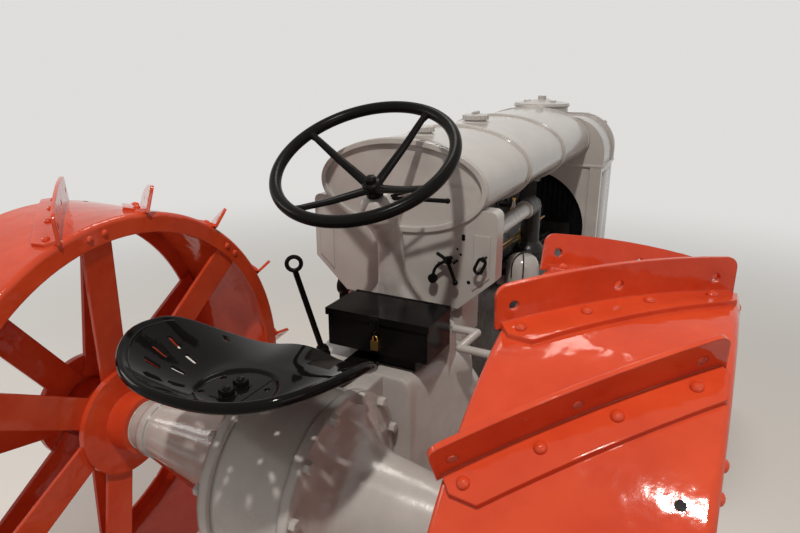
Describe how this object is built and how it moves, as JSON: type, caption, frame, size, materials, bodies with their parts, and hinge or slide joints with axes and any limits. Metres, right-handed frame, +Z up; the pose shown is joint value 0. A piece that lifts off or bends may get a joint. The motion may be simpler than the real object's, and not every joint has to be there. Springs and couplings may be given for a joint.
{
  "type": "vintage tractor",
  "caption": "Early farm tractor with an oval tank, steel spoked wheels, diagonal angle-iron cleats, pan seat and toolbox.",
  "frame": {"origin": "on the floor, below the middle of the tractor's length and width", "axes": "+X forward, +Y to the driver's left, +Z up; the wheels roll about Y"},
  "size_m": [2.6424, 1.562, 1.3687],
  "materials": {
    "grey_paint": "warm light grey gloss paint over rough castings",
    "red_paint": "thick glossy orange-red paint",
    "black_enamel": "glossy black enamel",
    "black_iron": "black painted iron, slightly oily",
    "core_fins": "matt black fins",
    "brass": "worn brass"
  },
  "bodies": {
    "root": {"rear_axle_housing": "grey_paint", "axle_tube_left": "grey_paint", "axle_tube_right": "grey_paint", "transmission_case": "grey_paint", "engine_block": "black_iron", "cylinder_head": "black_iron", "crankcase": "grey_paint", "exhaust_manifold": "black_iron", "air_pipe": "grey_paint", "fuel_strainer": "grey_paint", "radiator_bottom_tank": "grey_paint", "radiator_core": "core_fins", "radiator_columns": "grey_paint", "radiator_top_tank": "grey_paint", "radiator_cap": "grey_paint", "fan_shroud": "grey_paint", "front_support": "grey_paint", "front_axle": "grey_paint", "radius_rods": "grey_paint", "steering_column": "grey_paint", "throttle_lever": "black_enamel", "dash": "grey_paint", "dash_controls": "black_enamel", "fuel_tank": "grey_paint", "filler_caps": "grey_paint", "gear_lever": "black_enamel", "clutch_pedal": "grey_paint", "toolbox": "black_enamel", "padlock": "brass", "seat": "black_enamel", "seat_spring": "black_enamel", "drawbar": "grey_paint", "starting_crank": "black_iron"},
    "rear_wheel_left": {"rear_wheel_left": "red_paint"},
    "rear_wheel_right": {"rear_wheel_right": "red_paint"},
    "steering_wheel": {"steering_wheel": "black_enamel"},
    "knuckle_left": {"knuckle_left": "grey_paint"},
    "knuckle_right": {"knuckle_right": "grey_paint"},
    "front_wheel_left": {"front_wheel_left": "red_paint"},
    "front_wheel_right": {"front_wheel_right": "red_paint"},
    "steering_arm": {"steering_arm": "black_iron"},
    "drag_link": {"drag_link": "black_iron"},
    "tie_rod": {"tie_rod": "grey_paint"},
    "fan": {"fan": "black_iron"},
    "toolbox_lid": {"toolbox_lid": "black_enamel"}
  },
  "joints": [
    {"name": "rear_left_roll", "type": "hinge", "parent": "root", "child": "rear_wheel_left", "pos_m": [-0.72575, 0.6285, 0.5955], "axis": [0, 1, 0], "continuous": true},
    {"name": "rear_right_roll", "type": "hinge", "parent": "root", "child": "rear_wheel_right", "pos_m": [-0.72575, -0.6285, 0.5955], "axis": [0, 1, 0], "continuous": true},
    {"name": "steering_turn", "type": "hinge", "parent": "root", "child": "steering_wheel", "pos_m": [-0.44375, 0, 1.2535], "axis": [-0.4894, 0, 0.8721], "range_deg": [-270, 270]},
    {"name": "left_kingpin", "type": "hinge", "parent": "root", "child": "knuckle_left", "pos_m": [0.87425, 0.5, 0.3745], "axis": [0, 0, 1], "range_deg": [-30, 30]},
    {"name": "right_kingpin", "type": "hinge", "parent": "root", "child": "knuckle_right", "pos_m": [0.87425, -0.5, 0.3745], "axis": [0, 0, 1], "range_deg": [-30, 30]},
    {"name": "front_left_roll", "type": "hinge", "parent": "knuckle_left", "child": "front_wheel_left", "pos_m": [0.87425, 0.605, 0.3745], "axis": [0, 1, 0], "continuous": true},
    {"name": "front_right_roll", "type": "hinge", "parent": "knuckle_right", "child": "front_wheel_right", "pos_m": [0.87425, -0.605, 0.3745], "axis": [0, 1, 0], "continuous": true},
    {"name": "steering_arm_swing", "type": "hinge", "parent": "root", "child": "steering_arm", "pos_m": [-0.18075, 0.221, 0.8355], "axis": [0, -1, 0], "range_deg": [-30, 30]},
    {"name": "drag_link_swing", "type": "hinge", "parent": "steering_arm", "child": "drag_link", "pos_m": [-0.18075, 0.235, 0.7155], "axis": [0, 1, 0], "range_deg": [-30, 30]},
    {"name": "track_rod_swing", "type": "hinge", "parent": "knuckle_left", "child": "tie_rod", "pos_m": [0.75425, 0.5, 0.39], "axis": [0, 0, -1], "range_deg": [-30, 30]},
    {"name": "fan_spin", "type": "hinge", "parent": "root", "child": "fan", "pos_m": [0.87425, 0, 0.7955], "axis": [1, 0, 0], "continuous": true},
    {"name": "toolbox_lid_open", "type": "hinge", "parent": "root", "child": "toolbox_lid", "pos_m": [-0.35145, -0.0495, 0.8953], "axis": [0, 1, 0], "range_deg": [0, 80]}
  ],
  "couplings": [
    {"joint": "left_kingpin", "follows": "steering_turn", "ratio": 0.11111},
    {"joint": "right_kingpin", "follows": "steering_turn", "ratio": 0.11111},
    {"joint": "steering_arm_swing", "follows": "steering_turn", "ratio": 0.11111},
    {"joint": "drag_link_swing", "follows": "steering_turn", "ratio": 0.11111},
    {"joint": "track_rod_swing", "follows": "steering_turn", "ratio": 0.11111}
  ]
}
